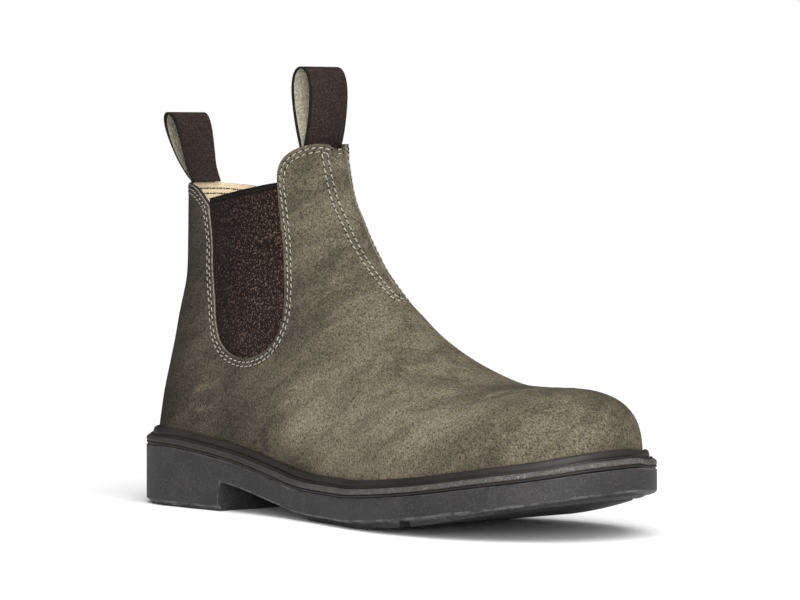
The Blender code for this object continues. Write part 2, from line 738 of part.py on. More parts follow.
# Outward normals: level along the feather line and its skirt, fore and aft on the seam
skin_normals = normal_at(skin_u, skin_t)
skin_normals[feather, 2] = 0
skin_normals[list(seam.values()), 1] = 0
skin_normals = np.concatenate([skin_normals, skin_normals[list(low)]])
skin_normals /= np.linalg.norm(skin_normals, axis=1)[:, None]
middle = skin_points[triangles].mean(1)

# Regions of the skin, by the middle of each triangle
whole = np.nonzero(~is_skirt)[0]
u_middle = skin_u[triangles[whole]].mean(1)
t_middle = skin_t[triangles[whole]].mean(1)
side_view = middle[:, [0, 2]]
above = np.array([[1, 1], [-1, 1]]) * SOLE_LENGTH
over_collar = inside(side_view, np.concatenate([collar_line, above]))
in_slot = inside(side_view, gore_line) & ~is_skirt
gore_low = gore_edge[np.interp(gore_edge[:, 0], gore_top[:, 0], gore_top[:, 1]) > gore_edge[:, 1]]
in_gore = inside(side_view, np.concatenate([gore_low, gore_top[::-1]])) & ~is_skirt


def under_panel(line):
    """True for each triangle nearer to the dorsal line than the panel's edge."""
    u, girth = line
    found = np.zeros(len(triangles), bool)
    limit = np.interp(u_middle, u, 1 - girth, left=-1)
    found[whole] = abs(t_middle) < limit
    return found


in_panel_slot = under_panel(panel_line(0)) & ~over_collar
in_panel = under_panel(panel_line(PANEL_GAP)) & ~over_collar
in_upper = ~over_collar & ~in_slot & ~in_panel_slot


def cut_piece(name, chosen, outer, inner, colour, roughness):
    """Solid between two depths under the chosen triangles of the skin."""
    faces = triangles[chosen]
    used = np.unique(faces)
    index = np.full(len(skin_points), -1)
    index[used] = np.arange(len(used))
    faces = index[faces]
    count = len(used)
    points = np.concatenate([
        skin_points[used] - skin_normals[used] * outer,
        skin_points[used] - skin_normals[used] * inner,
    ])
    whole_edges = set()
    for a, b, c in faces:
        whole_edges |= {(a, b), (b, c), (c, a)}
    body = [tuple(face) for face in faces]
    body += [(a + count, c + count, b + count) for a, b, c in faces]
    body += [(b, a, a + count, b + count) for a, b in whole_edges if (b, a) not in whole_edges]
    body = [tuple(int(i) for i in face) for face in body]
    return solid(name, points, body, colour, roughness)


leather = (0.155, 0.135, 0.095)
elastic = (0.050, 0.030, 0.024)
cut_piece("upper", in_upper, 0, WALL, leather, 0.8)
cut_piece("instep_panel", in_panel, RECESS, PANEL_DEPTH, leather, 0.8)
outer_side = middle[:, 1] < 0
cut_piece("gore_outer", in_gore & outer_side, RECESS, WALL, elastic, 0.9)
cut_piece("gore_inner", in_gore & ~outer_side, RECESS, WALL, elastic, 0.9)


# Pull loops: half the outline of a loop, from its foot to its top, as shares
LOOP_SHAPE = (
    # height, opening
    (0.00, 0.00),
    (0.15, 0.30),
    (0.35, 0.66),
    (0.55, 0.90),
    (0.74, 1.00),
    (0.88, 0.86),
    (0.965, 0.52),
    (1.00, 0.00),
)


def pull_loop(name, sizes, colour):
    """Folded webbing standing on a doubled tab, bowed to follow the wall that it is sewn to."""
    foot_x = sizes["at"] * SOLE_LENGTH
    foot_z = sizes["foot"] * SHAFT_HEIGHT
    tall = sizes["top"] * SHAFT_HEIGHT - foot_z
    bend = COLLAR_BEND * SOLE_LENGTH * (WEB_WIDTH / BALL_WIDTH) ** BEND_POWER
    half = [(share * tall, wide * sizes["opening"] / 2) for share, wide in LOOP_SHAPE]
    path = half + [(height, -wide) for height, wide in half[-2:0:-1]]
    lean = [sizes["lean"] * (h / tall) ** sizes["lean_power"] for h, _ in path]
    path = np.array([(foot_x + shift - wide, foot_z + h) for shift, (h, wide) in zip(lean, path)])
    run = np.roll(path, -1, 0) - np.roll(path, 1, 0)
    run[0] = (1, 0)
    run = run / np.linalg.norm(run, axis=1)[:, None]
    out = np.stack([-run[:, 1], run[:, 0]], 1)
    inner = path
    outer = path + out * WEB_THICKNESS
    if np.ptp(outer[:, 1]) < np.ptp(inner[:, 1]):
        outer = path - out * WEB_THICKNESS
    outer = outer[1:]
    deep = foot_z - sizes["tab"]
    tab = np.array([
        (foot_x + WEB_THICKNESS, foot_z),
        (foot_x + WEB_THICKNESS, deep),
        (foot_x - WEB_THICKNESS, deep),
        (foot_x - WEB_THICKNESS, foot_z),
    ])
    outline = np.concatenate([outer, tab])
    hole = inner
    count = len(outline) + len(hole)
    last = len(outer)
    faces = []
    points = []
    for strip in range(LOOP_STRIPS + 1):
        across = 2 * strip / LOOP_STRIPS - 1
        for x, z in np.concatenate([outline, hole]):
            rise = max(0, (z - foot_z) / tall)
            bow = sizes["facing"] * bend * across**2 * (1 - BOW_FADE * rise)
            width = WEB_WIDTH * (1 - sizes["pinch"] * (1 - rise))
            points.append((x - bow, width * across / 2 - sizes["side"], z))
    for strip in range(LOOP_STRIPS):
        base = strip * count
        for start, size in ((0, len(outline)), (len(outline), len(hole))):
            for i in range(size):
                here = base + start + i
                following = base + start + (i + 1) % size
                quad = (here, following, following + count, here + count)
                faces.append(quad if start else quad[::-1])
    first = len(outline)
    side = [(first + i, first + i + 1, i, i - 1) for i in range(1, last)]
    side.append((first, first + 1, 0, last + 3))
    side.append((first + last, first, last, last - 1))
    side.append((first, last + 3, last + 2, last + 1, last))
    top_base = LOOP_STRIPS * count
    faces += [tuple(reversed(face)) for face in side]
    faces += [tuple(i + top_base for i in face) for face in side]
    return solid(name, points, faces, colour, 0.85)


webbing = (0.040, 0.024, 0.020)
pull_loop("pull_loop_front", FRONT_LOOP, webbing)
pull_loop("pull_loop_back", BACK_LOOP, webbing)
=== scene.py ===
import math

import bmesh
import bpy
import numpy as np
from mathutils import Matrix, Vector
from mathutils.kdtree import KDTree


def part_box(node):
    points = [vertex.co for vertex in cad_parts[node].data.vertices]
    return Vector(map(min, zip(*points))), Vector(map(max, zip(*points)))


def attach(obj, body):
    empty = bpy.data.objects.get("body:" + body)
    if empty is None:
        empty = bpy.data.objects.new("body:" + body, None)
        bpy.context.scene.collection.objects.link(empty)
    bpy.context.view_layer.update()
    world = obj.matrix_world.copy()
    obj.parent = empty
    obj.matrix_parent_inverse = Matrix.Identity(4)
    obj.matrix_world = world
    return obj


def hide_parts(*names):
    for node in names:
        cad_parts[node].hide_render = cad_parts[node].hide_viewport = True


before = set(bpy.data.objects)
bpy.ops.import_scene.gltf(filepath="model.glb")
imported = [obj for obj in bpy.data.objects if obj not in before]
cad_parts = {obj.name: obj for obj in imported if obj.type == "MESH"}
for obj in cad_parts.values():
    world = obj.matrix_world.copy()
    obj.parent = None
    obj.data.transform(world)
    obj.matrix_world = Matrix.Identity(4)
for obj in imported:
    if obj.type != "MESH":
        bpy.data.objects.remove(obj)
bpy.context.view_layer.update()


# Studio: a white sweep under broad soft light from above the toe's outer side, and a
# camera far off on the outer side, a little above the boot's middle.
scene = bpy.context.scene
scene.view_settings.view_transform = "Standard"
sight = Vector((-0.75058, 0.65975, -0.03702)).normalized()
camera = bpy.data.objects.new("camera", bpy.data.cameras.new("camera"))
scene.collection.objects.link(camera)
camera.location = (1.5262, -1.2339, 0.1673)
camera.rotation_euler = sight.to_track_quat("-Z", "Y").to_euler()
camera.data.sensor_width = 36
camera.data.lens = 188.57
camera.data.clip_end = 50
scene.camera = camera

SWEEP_HALF = 6.0
bpy.ops.object.select_all(action="DESELECT")
bpy.ops.mesh.primitive_plane_add(size=2 * SWEEP_HALF)
sweep = bpy.context.object
sweep.name = "sweep"
sweep.data.materials.append(bpy.data.materials.new("sweep_paint"))
sweep.data.materials[0].use_nodes = True
sweep_paint = sweep.data.materials[0].node_tree.nodes["Principled BSDF"]
sweep_paint.inputs["Base Color"].default_value = (0.93, 0.93, 0.93, 1)
sweep_paint.inputs["Roughness"].default_value = 0.9
sweep_paint.inputs["Specular IOR Level"].default_value = 0.1

studio = bpy.data.worlds.new("studio")
studio.use_nodes = True
room = studio.node_tree
room_light = room.nodes["Background"]
bearing = room.nodes.new("ShaderNodeTexCoord")
toward = room.nodes.new("ShaderNodeVectorMath")
toward.operation = "DOT_PRODUCT"
toward.inputs[1].default_value = (0.72, -0.38, 0.58)
walls = room.nodes.new("ShaderNodeMapRange")
walls.inputs["From Min"].default_value = -0.75
walls.inputs["From Max"].default_value = 0.85
walls.inputs["To Min"].default_value = 0.05
walls.inputs["To Max"].default_value = 0.62
room.links.new(bearing.outputs["Generated"], toward.inputs[0])
room.links.new(toward.outputs["Value"], walls.inputs["Value"])
room.links.new(walls.outputs["Result"], room_light.inputs["Strength"])
room_light.inputs["Color"].default_value = (1, 1, 1, 1)
backdrop = room.nodes.new("ShaderNodeBackground")
backdrop.inputs["Color"].default_value = (1, 1, 1, 1)
seen = room.nodes.new("ShaderNodeLightPath")
chosen = room.nodes.new("ShaderNodeMixShader")
room.links.new(seen.outputs["Is Camera Ray"], chosen.inputs["Fac"])
room.links.new(room_light.outputs["Background"], chosen.inputs[1])
room.links.new(backdrop.outputs["Background"], chosen.inputs[2])
room.links.new(chosen.outputs["Shader"], room.nodes["World Output"].inputs["Surface"])
scene.world = studio


def lamp(name, kind, place, aim, power, size):
    light = bpy.data.lights.new(name, kind)
    light.energy = power
    if kind == "SUN":
        light.angle = size
    else:
        light.size = size
    holder = bpy.data.objects.new(name, light)
    scene.collection.objects.link(holder)
    holder.location = place
    holder.rotation_euler = (Vector(aim) - Vector(place)).to_track_quat("-Z", "Y").to_euler()


lamp("ceiling_light", "SUN", (1.3, -0.75, 2.2), (0.1, 0, 0), 2.3, math.radians(50))
lamp("side_light", "SUN", (1.0, -0.90, 0.24), (0.1, 0, 0.08), 2.4, math.radians(40))
lamp("front_light", "AREA", (1.35, -0.35, 0.70), (0.12, 0, 0.08), 6, 0.7)


# Outsole: one moulding of dark grey rubber, with the heel block, the side wall, and the
# lugs under it. Its wall has a fine matt speckle from the mould, with the edges rubbed and a painted
# highlight along them.
class Wire:
    """A socket or a number that takes plain arithmetic and adds the nodes for it."""

    def __init__(self, finish, value):
        self.finish = finish
        self.value = value

    def maths(self, operation, *values):
        given = dict(enumerate(values))
        return self.finish.node("ShaderNodeMath", {"operation": operation}, given)["Value"]

    def __add__(self, other):
        return self.maths("ADD", self, other)

    def __radd__(self, other):
        return self.maths("ADD", other, self)

    def __sub__(self, other):
        return self.maths("SUBTRACT", self, other)

    def __rsub__(self, other):
        return self.maths("SUBTRACT", other, self)

    def __mul__(self, other):
        return self.maths("MULTIPLY", self, other)

    def __rmul__(self, other):
        return self.maths("MULTIPLY", other, self)

    def size(self):
        return self.maths("ABSOLUTE", self)

    def sine(self):
        return self.maths("SINE", self)

    def least(self, other):
        return self.maths("MINIMUM", self, other)

    def most(self, other):
        return self.maths("MAXIMUM", self, other)

    def ramp(self, low, high):
        """0 at low and 1 at high, with soft ends."""
        given = {"Value": self, "From Min": low, "From Max": high}
        setting = {"interpolation_type": "SMOOTHSTEP"}
        return self.finish.node("ShaderNodeMapRange", setting, given)["Result"]


class Finish:
    """A material in the making: its nodes, its shader and the place of a point on the piece."""

    def __init__(self, name, **plain):
        self.material = bpy.data.materials.new(name)
        self.material.use_nodes = True
        self.tree = self.material.node_tree
        self.shader = self.tree.nodes["Principled BSDF"]
        self.place = self.node("ShaderNodeTexCoord")["Object"]
        for socket, value in plain.items():
            self.shader.inputs[socket.replace("_", " ")].default_value = value

    def node(self, kind, settings=None, given=None):
        made = self.tree.nodes.new(kind)
        for key, value in (settings or {}).items():
            setattr(made, key, value)
        for key, value in (given or {}).items():
            if isinstance(value, Wire):
                self.tree.links.new(value.value, made.inputs[key])
            else:
                made.inputs[key].default_value = value
        return {socket.name: Wire(self, socket) for socket in made.outputs if socket.enabled}

    def noise(self, scale, detail=2.0, rough=0.5, warp=0.0, at=None):
        given = {"Vector": at or self.place, "Scale": scale, "Detail": detail}
        given.update({"Roughness": rough, "Distortion": warp})
        return self.node("ShaderNodeTexNoise", None, given)["Fac"]

    def stretched(self, x, y, z, turn=(0, 0, 0)):
        """The place for a pattern that is this much longer along each axis, then turned."""
        given = {"Vector": self.place, "Scale": (x, y, z), "Rotation": turn}
        return self.node("ShaderNodeMapping", {"vector_type": "TEXTURE"}, given)["Vector"]

    def spot(self, centre, radius):
        """1 at a place on the piece, fading to 0 at the radius."""
        given = {0: self.place, 1: centre}
        gap = self.node("ShaderNodeVectorMath", {"operation": "DISTANCE"}, given)["Value"]
        return gap.ramp(radius, 0.0)

    def axes(self):
        return self.node("ShaderNodeSeparateXYZ", None, {"Vector": self.place})

    def kept(self, name):
        """A value that the piece's mesh keeps at each of its points."""
        return self.node("ShaderNodeAttribute", {"attribute_name": name})["Fac"]

    def blend(self, share, first, second):
        """A colour between two, given as (r, g, b) or as a link."""
        colours = [c if isinstance(c, Wire) else (*c, 1) for c in (first, second)]
        given = {0: share, 6: colours[0], 7: colours[1]}
        made = self.tree.nodes.new("ShaderNodeMix")
        made.data_type = "RGBA"
        for key, value in given.items():
            if isinstance(value, Wire):
                self.tree.links.new(value.value, made.inputs[key])
            else:
                made.inputs[key].default_value = value
        return Wire(self, made.outputs[2])

    def scaled(self, colour, share):
        """A colour made lighter or darker by a share that may vary."""
        given = {"Vector": colour, "Scale": share}
        return self.node("ShaderNodeVectorMath", {"operation": "SCALE"}, given)["Vector"]

    def coat(self, socket, value):
        self.tree.links.new(value.value, self.shader.inputs[socket])

    def relief(self, height, depth, strength=1.0):
        """Bump of this height field: depth is what its full range stands for, in metres."""
        given = {"Height": height, "Distance": depth, "Strength": strength}
        bump = self.node("ShaderNodeBump", None, given)["Normal"]
        self.coat("Normal", bump)


DOUBLES = 0.00002
MOST_SHIFT = 0.0004


def fine_copy(node, name, levels, sharp):
    """A smoother copy of a CAD node: sharp edges are creased, then it is subdivided."""
    bpy.ops.object.select_all(action="DESELECT")
    made = bpy.data.objects.new(name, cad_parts[node].data.copy())
    scene.collection.objects.link(made)
    made.data.materials.clear()
    bpy.context.view_layer.objects.active = made
    made.select_set(True)
    bpy.ops.object.mode_set(mode="EDIT")
    bpy.ops.mesh.select_mode(type="EDGE")
    bpy.ops.mesh.select_all(action="SELECT")
    bpy.ops.mesh.remove_doubles(threshold=DOUBLES)
    bpy.ops.mesh.customdata_custom_splitnormals_clear()
    bpy.ops.mesh.tris_convert_to_quads(face_threshold=0.6, shape_threshold=1.2)
    bpy.ops.mesh.select_all(action="DESELECT")
    bpy.ops.mesh.edges_select_sharp(sharpness=math.radians(sharp))
    bpy.ops.transform.edge_crease(value=1)
    bpy.ops.object.mode_set(mode="OBJECT")
    finer = made.modifiers.new("finer", "SUBSURF")
    finer.levels = finer.render_levels = levels
    finer.uv_smooth = "NONE"
    wanted = np.array([point.co for point in made.data.vertices])
    shifted = wanted.copy()
    # Subdivision pulls a curved surface in: move the points out until it meets them
    for _ in range(3):
        smooth = made.evaluated_get(bpy.context.evaluated_depsgraph_get()).data
        reached = np.array([point.co for point in smooth.vertices[:len(wanted)]])
        shifted = wanted + np.clip(shifted - reached, -MOST_SHIFT, MOST_SHIFT)
        made.data.vertices.foreach_set("co", shifted.ravel())
        made.data.update()
        bpy.context.view_layer.update()
    bpy.ops.object.modifier_apply(modifier="finer")
    bpy.ops.object.shade_smooth_by_angle(angle=math.radians(40))
    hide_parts(node)
    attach(made, "root")
    return made


def keep(piece, name, values):
    """Stores a value at each point of the piece's mesh, for its material."""
    stored = piece.data.attributes.new(name, "FLOAT", "POINT")
    stored.data.foreach_set("value", np.array(values, float))


def reach_along(path):
    """The length of the path up to each of its points."""
    return np.concatenate([[0], np.linalg.norm(np.diff(path, axis=0), axis=1).cumsum()])


def smooth_line(points, step, closed=False):
    """Evenly spaced points on a smooth curve through the given ones."""
    points = np.array(points, float)
    ends = [2 * points[0] - points[1], *points, 2 * points[-1] - points[-2]]
    if closed:
        ends = [points[-1], *points, points[0], points[1]]
    path = []
    for a, b, c, d in zip(ends, ends[1:], ends[2:], ends[3:]):
        for t in np.linspace(0, 1, 20, endpoint=False):
            bend = (2 * a - 5 * b + 4 * c - d) * t**2 + (3 * b - a - 3 * c + d) * t**3
            path.append(0.5 * (2 * b + (c - a) * t + bend))
    path = np.array([*path, ends[-2]])
    reach = reach_along(path)
    at = np.linspace(0, reach[-1], max(2, round(reach[-1] / step) + 1))
    return np.stack([np.interp(at, reach, column) for column in path.T], 1)


END_ROUND = 0.05
WALL_TILT = 0.08


def sole_outline(step):
    """Points along the outer edge of the welt's ledge, round the sole."""
    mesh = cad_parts["midsole"].data
    low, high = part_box("midsole")
    found = {}
    for face in mesh.polygons:
        on_spine = min(max(face.center.x, low.x + END_ROUND), high.x - END_ROUND)
        out = face.center - Vector((on_spine, 0, face.center.z))
        if abs(face.normal.z) > WALL_TILT or face.normal.dot(out) < 0:
            continue
        corners = [mesh.vertices[i].co for i in face.vertices]
        half = (min(c.z for c in corners) + max(c.z for c in corners)) / 2
        for corner in corners:
            if corner.z > half:
                found[(round(corner.x, 5), round(corner.y, 5))] = corner.z
    points = np.array([(x, y, z) for (x, y), z in found.items()])
    points = points[np.arctan2(points[:, 1], points[:, 0] - (low.x + high.x) / 2).argsort()]
    return smooth_line(points, step, closed=True)[:-1]


LEDGE_BEVEL = 0.0008
PLATE = 0.0024
SIDEWALL = 0.0106
HEEL_END = 0.038
HEEL_TREAD = 0.0016
OUTLINE_STEP = 0.0029
WAIST_BACK = 0.04
WAIST_FRONT = 0.20
WAIST_FADE = 0.03
WAIST_EASE = 0.008
TOE_START = 0.222
TOE_LENGTH = 0.054
TOE_SLANT = 0.6
TOE_RISE = 0.0019
LUG_DEPTH = 0.003
LUG_START = 0.185
LUG_LENGTH = 0.05
LUG_RISE = 0.0021
outline = sole_outline(OUTLINE_STEP) + (0, 0, LEDGE_BEVEL)
outline_x = outline[:, 0].copy()
ledge = outline[:, 2].copy()
weight = np.exp(-(((outline_x[:, None] - outline_x[None, :]) / WAIST_EASE) ** 2))
eased = weight @ ledge / weight.sum(1) - ledge
eased *= np.clip((outline_x - WAIST_BACK) / WAIST_FADE, 0, 1)
eased *= np.clip((WAIST_FRONT - outline_x) / WAIST_FADE, 0, 1)
by_length = outline_x.argsort()


def toe_lift(points):
    """How far the toe end rises at each point, more on the inner side."""
    share = np.clip((points[:, 0] + TOE_SLANT * points[:, 1] - TOE_START) / TOE_LENGTH, 0, 1)
    return TOE_RISE * share**1.2


def waist_ease(x):
    """How far the ledge moves there, so that the waist is one long curve."""
    return np.interp(x, outline_x[by_length], eased[by_length])


outline[:, 2] += eased + toe_lift(outline)


def from_outline(points):
    """Distance of each point from the sole's outline in plan, and the ledge's height there."""
    gap = np.linalg.norm(points[:, None, :2] - outline[None, :, :2], axis=2)
    nearest = gap.argmin(1)
    return gap[np.arange(len(points)), nearest], outline[nearest, 2]


outsole = fine_copy("outsole", "outsole_rubber", 1, 30)
places = np.array([point.co for point in outsole.data.vertices])
_, ledge = from_outline(places)
ledge -= waist_ease(places[:, 0]) + toe_lift(places)
lower_edge = np.where(places[:, 0] < HEEL_END, HEEL_TREAD, ledge - PLATE - SIDEWALL)
keep(outsole, "below_parting", ledge - PLATE - places[:, 2])
keep(outsole, "above_edge", places[:, 2] - lower_edge)
up_wall = np.clip((places[:, 2] - lower_edge) / SIDEWALL, 0, 1)
down_lug = np.clip((lower_edge - places[:, 2]) / LUG_DEPTH, 0, 1)
places[:, 2] += up_wall * waist_ease(places[:, 0]) + toe_lift(places)
places[:, 2] += LUG_RISE * down_lug * np.clip((places[:, 0] - LUG_START) / LUG_LENGTH, 0, 1)
places[:, 2] = places[:, 2].clip(0)
outsole.data.vertices.foreach_set("co", places.ravel())
outsole.data.update()
rubber = Finish("dark_rubber", Roughness=0.62, Specular_IOR_Level=0.42)
cloud = rubber.noise(55, 3, 0.55)
speckle = rubber.noise(1150, 3, 0.75)
scrape = rubber.noise(210, 3, 0.65)
tone = rubber.blend(cloud.ramp(0.35, 0.7), (0.0136, 0.0124, 0.0128), (0.0226, 0.0208, 0.0214))
tone = rubber.blend(speckle.ramp(0.52, 0.70) * 0.66, tone, (0.066, 0.062, 0.064))
tone = rubber.blend(speckle.ramp(0.48, 0.30) * 0.78, tone, (0.006, 0.006, 0.006))
waist_shade = rubber.spot((0.056, 0, 0.012), 0.031).ramp(0.0, 0.4)
tone = rubber.blend(waist_shade, tone, (0.002, 0.002, 0.002))
# Pale lines along the wall's top and bottom edges: partly rubbed rubber, partly painted highlight
top_rub_and_highlight = rubber.kept("below_parting").ramp(0.0010, 0.0006) * scrape.ramp(0.22, 0.55)
low_rub_and_highlight = rubber.kept("above_edge").size().ramp(0.0012, 0.0007) * scrape.ramp(0.36, 0.60)
edge_rub_and_highlight = (top_rub_and_highlight * 0.6 + low_rub_and_highlight * 0.8).least(1.0)
tone = rubber.blend(edge_rub_and_highlight * 0.62, tone, (0.150, 0.146, 0.148))
rubber.coat("Base Color", tone)
rubber.coat("Roughness", 0.56 + cloud * 0.14)
rubber.relief(speckle + rubber.noise(620, 2, 0.5), 0.00012, 0.7)
outsole.data.materials.append(rubber.material)


# Rand and welt: one moulding of dark brown rubber above the outsole. From outside in it
# has a thin lip, a stippled bead, a narrow bead and a rounded rand against the leather,
# with a groove between each two.
WELT_PROFILE = (
    # inset from the sole's outline, height above the ledge, in millimetres
    (0.02, -0.60),
    (0.04, -0.15),
    (0.16, 0.30),
    (0.42, 0.72),
    (0.80, 1.06),
    (1.22, 1.28),
    (1.52, 1.32),
    (1.66, 1.22),
    (1.78, 1.30),
    (1.84, 1.62),
    (1.98, 1.94),
    (2.30, 2.16),
    (2.64, 2.10),
    (2.86, 1.86),
    (2.98, 1.70),
    (3.12, 1.70),
    (3.20, 1.95),
    (3.24, 2.50),
    (3.36, 3.40),
    (3.62, 4.18),
    (4.04, 4.74),
    (4.60, 5.04),
    (5.16, 5.10),
    (5.55, 4.90),
    (5.70, 4.45),
    (5.72, 1.20),
    (8.50, 1.20),
    (8.50, -2.40),
    (1.20, -2.46),
    (0.66, -2.46),
    (0.52, -2.34),
    (0.30, -2.26),
    (0.12, -2.10),
    (0.06, -1.86),
    (0.14, -1.60),
    (0.40, -1.48),
    (0.66, -1.38),
    (0.66, -1.18),
    (0.36, -1.08),
    (0.10, -0.92),
)
OUTER_GROOVE = 0.00170
INNER_GROOVE = 0.00306
PLATE_EDGE = 0.0080
plate = fine_copy("midsole", "rand_and_welt", 1, 30)
places = np.array([point.co for point in plate.data.vertices])
places[:, 2] += waist_ease(places[:, 0]) + toe_lift(places)
plate.data.vertices.foreach_set("co", places.ravel())
ahead = (np.roll(outline, -1, 0) - np.roll(outline, 1, 0))[:, :2]
ahead /= np.linalg.norm(ahead, axis=1)[:, None]
inward = np.stack([-ahead[:, 1], ahead[:, 0], np.zeros(len(ahead))], 1)
bpy.ops.object.select_all(action="DESELECT")
bpy.ops.mesh.primitive_torus_add(major_segments=len(outline), minor_segments=len(WELT_PROFILE))
welt = bpy.context.object
profile = np.array(WELT_PROFILE) / 1000
rings = outline[:, None, :] + inward[:, None, :] * profile[None, :, 0, None]
rings[:, :, 2] += profile[None, :, 1]
welt.data.vertices.foreach_set("co", rings.reshape(-1, 3).ravel())
keep(welt, "inset", np.tile(profile[:, 0], len(outline)))
keep(welt, "rise", np.tile(profile[:, 1], len(outline)))
bpy.ops.object.shade_smooth()
bpy.context.view_layer.objects.active = plate
bpy.ops.object.mode_set(mode="EDIT")
bpy.ops.mesh.select_mode(type="FACE")
bpy.ops.mesh.select_all(action="DESELECT")
bpy.ops.object.mode_set(mode="OBJECT")
gap, _ = from_outline(np.array([face.center for face in plate.data.polygons]))
plate.data.polygons.foreach_set("select", gap < PLATE_EDGE)
bpy.ops.object.mode_set(mode="EDIT")
bpy.ops.mesh.delete(type="FACE")
bpy.ops.mesh.select_mode(type="EDGE")
bpy.ops.mesh.select_non_manifold()
bpy.ops.mesh.bridge_edge_loops()
bpy.ops.object.mode_set(mode="OBJECT")
bpy.ops.object.select_all(action="DESELECT")
welt.select_set(True)
plate.select_set(True)
bpy.context.view_layer.objects.active = plate
bpy.ops.object.join()
brown = Finish("brown_rubber", Roughness=0.48, Specular_IOR_Level=0.30)
cloud = brown.noise(40, 3, 0.55)
grain = brown.noise(1300, 3, 0.7)
paler_patch = brown.noise(130, 3, 0.6)
tone = brown.blend(cloud.ramp(0.3, 0.7), (0.0105, 0.0088, 0.0078), (0.0190, 0.0155, 0.0135))
tone = brown.blend(grain.ramp(0.54, 0.74) * 0.35, tone, (0.060, 0.053, 0.048))
inset = brown.kept("inset")
bead = inset.ramp(0.0016, 0.0014) * brown.kept("rise").ramp(-0.0012, -0.0009)
forward = brown.axes()["X"].ramp(0.060, 0.150)
stipple = grain.ramp(0.46, 0.66) * paler_patch.ramp(0.34, 0.62)
# The outer bead is paler, most towards the toe, where a stippled painted highlight lies on it: partly
# rubbed rubber, partly painted highlight
bead_pale_and_highlight = bead * (0.06 + forward * 0.16) + bead * stipple * forward * 0.75
tone = brown.blend(bead_pale_and_highlight, tone, (0.170, 0.157, 0.143))
# Painted shade darkens the bottoms of the outer and inner grooves
outer_groove = (inset - OUTER_GROOVE).size().ramp(0.00025, 0.0001)
inner_groove = (inset - INNER_GROOVE).size().ramp(0.0003, 0.0001)
groove_shade = (outer_groove + inner_groove).least(1.0)
tone = brown.blend(groove_shade * 0.85, tone, (0.0035, 0.0032, 0.0030))
brown.coat("Base Color", tone)
brown.coat("Roughness", 0.42 + grain * 0.14 + bead * 0.10)
brown.relief(grain + bead * grain, 0.00009, 0.6)
plate.data.materials.clear()
plate.data.materials.append(brown.material)


# Insole: a thin pad covered with tan cloth, woven on the bias. It is cut to the inside of
# the upper and glued down on the sole.
insole = fine_copy("insole", "insole_pad", 1, 30)
pad_cloth = Finish("insole_cloth", Roughness=0.95, Specular_IOR_Level=0.2)
weave = pad_cloth.stretched(1, 1, 1, (0, 0, math.radians(45)))
warp = pad_cloth.node("ShaderNodeTexWave", {"bands_direction": "X"}, {"Vector": weave, "Scale": 420.0})
weft = pad_cloth.node("ShaderNodeTexWave", {"bands_direction": "Y"}, {"Vector": weave, "Scale": 420.0})
threads = warp["Fac"].most(weft["Fac"])
cloud = pad_cloth.noise(60, 3, 0.6)
tone = pad_cloth.blend(cloud * 0.6 + threads * 0.3, (0.22, 0.165, 0.105), (0.42, 0.34, 0.235))
pad_cloth.coat("Base Color", tone)
pad_cloth.relief(threads, 0.0002, 0.5)
insole.data.materials.append(pad_cloth.material)


# Upper: nubuck leather, olive grey brown, lasted in one piece over a stiff toe. The
# collar, the gore openings and the instep slot are cut edges of raw, paler leather, and
# the inside is lined with cream canvas. Soft creases cross the flex line.
upper = fine_copy("upper", "leather_upper", 2, 38)

nubuck = Finish("nubuck", Roughness=0.9, Specular_IOR_Level=0.10)
at = nubuck.axes()
streaks = nubuck.stretched(2.4, 1.2, 0.8, (0, math.radians(-30), 0))
broad = nubuck.noise(26, 3, 0.55, 1.0, streaks)
brushed = nubuck.noise(95, 4, 0.62, 0.8, streaks)
grain = nubuck.noise(760, 3, 0.7)
fine = nubuck.noise(1350, 2, 0.65)
cloud = (broad * 0.55 + brushed * 0.45).ramp(0.38, 0.62)
tone = nubuck.blend(cloud, (0.0590, 0.0510, 0.0360), (0.1100, 0.0940, 0.0655))
# Paler patches at given spots on the outer side, the vamp and the toe
for centre, radius, share in (
    ((0.175, -0.047, 0.043), 0.062, 0.30),
    ((0.130, -0.038, 0.045), 0.042, 0.42),
    ((0.098, -0.035, 0.050), 0.028, 0.75),
    ((0.205, -0.041, 0.051), 0.030, 0.16),
    ((0.252, -0.014, 0.053), 0.030, 0.04),
):
    paler_patch = nubuck.spot(centre, radius) * (share + cloud * share)
    tone = nubuck.blend(paler_patch.least(0.9), tone, (0.190, 0.163, 0.116))
# Darker patches at given spots; those at the heel and the back of the shaft are partly painted shade
for centre, radius, share in (
    ((0.051, -0.033, 0.046), 0.036, 0.80),
    ((0.039, -0.031, 0.030), 0.028, 0.78),
    ((0.072, -0.030, 0.080), 0.050, 0.60),
    ((0.076, -0.020, 0.118), 0.042, 0.50),
    ((0.012, -0.030, 0.112), 0.046, 0.70),
    ((0.150, -0.030, 0.062), 0.036, 0.20),
    ((0.205, -0.050, 0.033), 0.034, 0.36),
):
    darker_patch = nubuck.spot(centre, radius) * (share - cloud * 0.25)
    tone = nubuck.blend(darker_patch, tone, (0.034, 0.031, 0.024))
# Painted shade: the leather turns almost black towards the back of the heel
tone = nubuck.blend(at["X"].ramp(0.060, -0.038) * 0.94, tone, (0.0118, 0.0110, 0.0090))
fold = nubuck.kept("fold")
